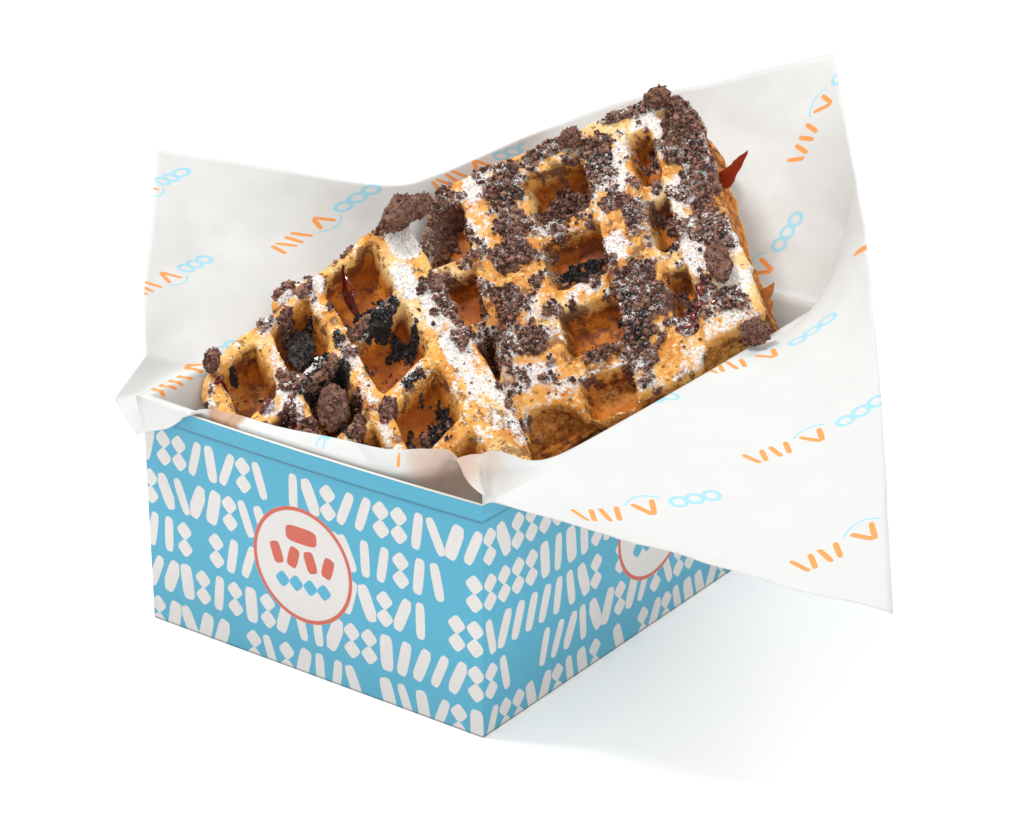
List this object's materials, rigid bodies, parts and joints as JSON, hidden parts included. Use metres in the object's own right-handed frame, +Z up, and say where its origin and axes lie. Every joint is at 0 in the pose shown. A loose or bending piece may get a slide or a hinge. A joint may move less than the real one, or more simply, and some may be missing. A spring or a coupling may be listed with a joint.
{
  "type": "waffles in a paper-lined carton",
  "caption": "Waffle pieces strewn with cookie crumbs, sugar and dark red sauce, heaped in an open paperboard carton lined with a loose sheet of printed paper.",
  "frame": {"origin": "middle of the carton's base, on the surface it stands on", "axes": "+Z up, +X across the carton to the picture's right-hand long side, +Y along the carton, away from the printed end that faces the picture's left"},
  "size_m": [0.2712, 0.2287, 0.1203],
  "materials": {
    "printed_board": "light blue paperboard with an off-white print",
    "liner_paper": "white greaseproof paper, sparse print",
    "waffle_crust": "golden baked batter",
    "dark_cookie": "dark dry cookie"
  },
  "bodies": {
    "root": {"carton": "printed_board", "paper_liner": "liner_paper", "waffle_big": "waffle_crust", "waffle_leaning": "waffle_crust", "waffle_small": "waffle_crust", "chunk_big": "dark_cookie", "chunk_flat": "dark_cookie", "chunk_left": "dark_cookie", "clump_back": "dark_cookie", "chunk_back": "dark_cookie", "chunk_top": "dark_cookie", "chunk_right": "dark_cookie", "chunk_on_rim": "dark_cookie"}
  },
  "joints": []
}
